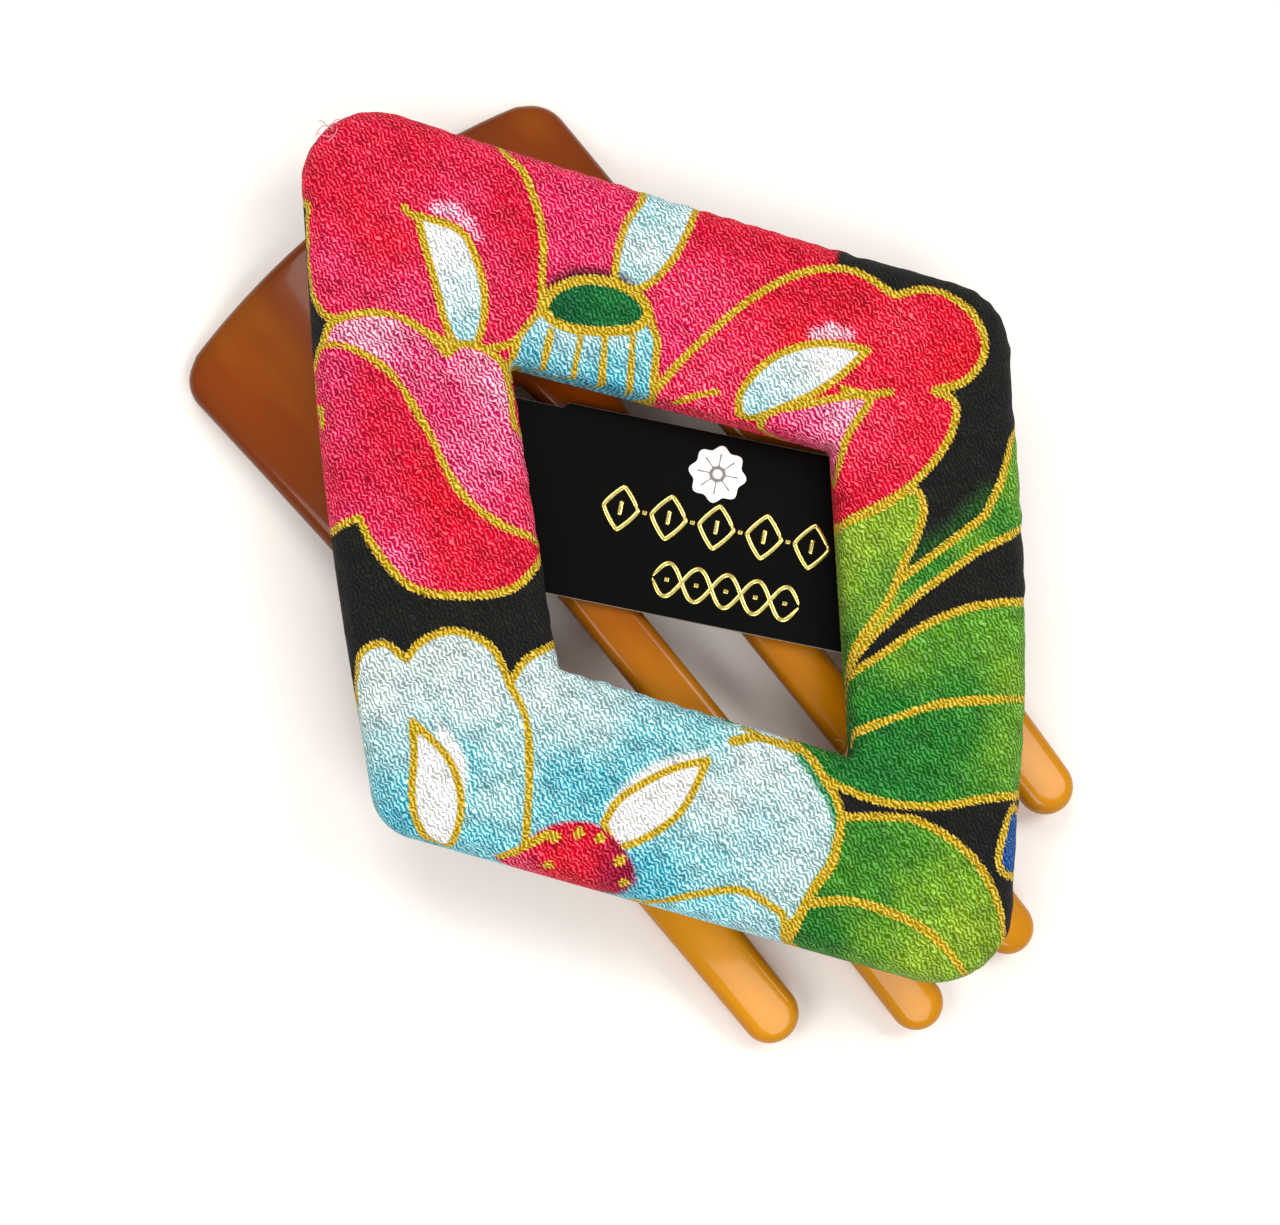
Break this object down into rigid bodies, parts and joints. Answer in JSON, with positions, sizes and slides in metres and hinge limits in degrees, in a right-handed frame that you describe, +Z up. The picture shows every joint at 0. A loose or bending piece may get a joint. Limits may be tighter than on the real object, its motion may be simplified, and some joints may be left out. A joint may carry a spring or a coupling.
{
  "type": "decorative hair comb",
  "caption": "Curved side comb of amber acetate that carries an open diamond frame in padded, flower-printed silk crepe, with a printed card slipped behind the frame.",
  "frame": {"origin": "under the middle of the frame, at the height of the table that the comb lies on", "axes": "+Z up through the frame's front, +Y from the tooth tips to the comb's top edge, along the diamond's long diagonal, +X along its short diagonal"},
  "size_m": [0.0708, 0.096, 0.0151],
  "materials": {
    "acetate": "polished, clouded amber",
    "adhesive": "set hot-melt",
    "felt": "pressed felt",
    "board": "grey board",
    "foam": "thin sheet wadding",
    "crepe": "printed crinkled silk crepe",
    "card": "satin coated card with foil lines"
  },
  "bodies": {
    "ornament": {"comb": "acetate", "adhesive_bed": "adhesive", "back_lining": "felt", "frame_core": "board", "padding": "foam", "fabric_cover": "crepe"},
    "card": {"display_card": "card"}
  },
  "joints": [
    {"name": "card_slide", "type": "slide", "parent": "ornament", "child": "card", "axis": [0.6561, -0.7547, 0], "range_m": [0, 0.06]}
  ]
}
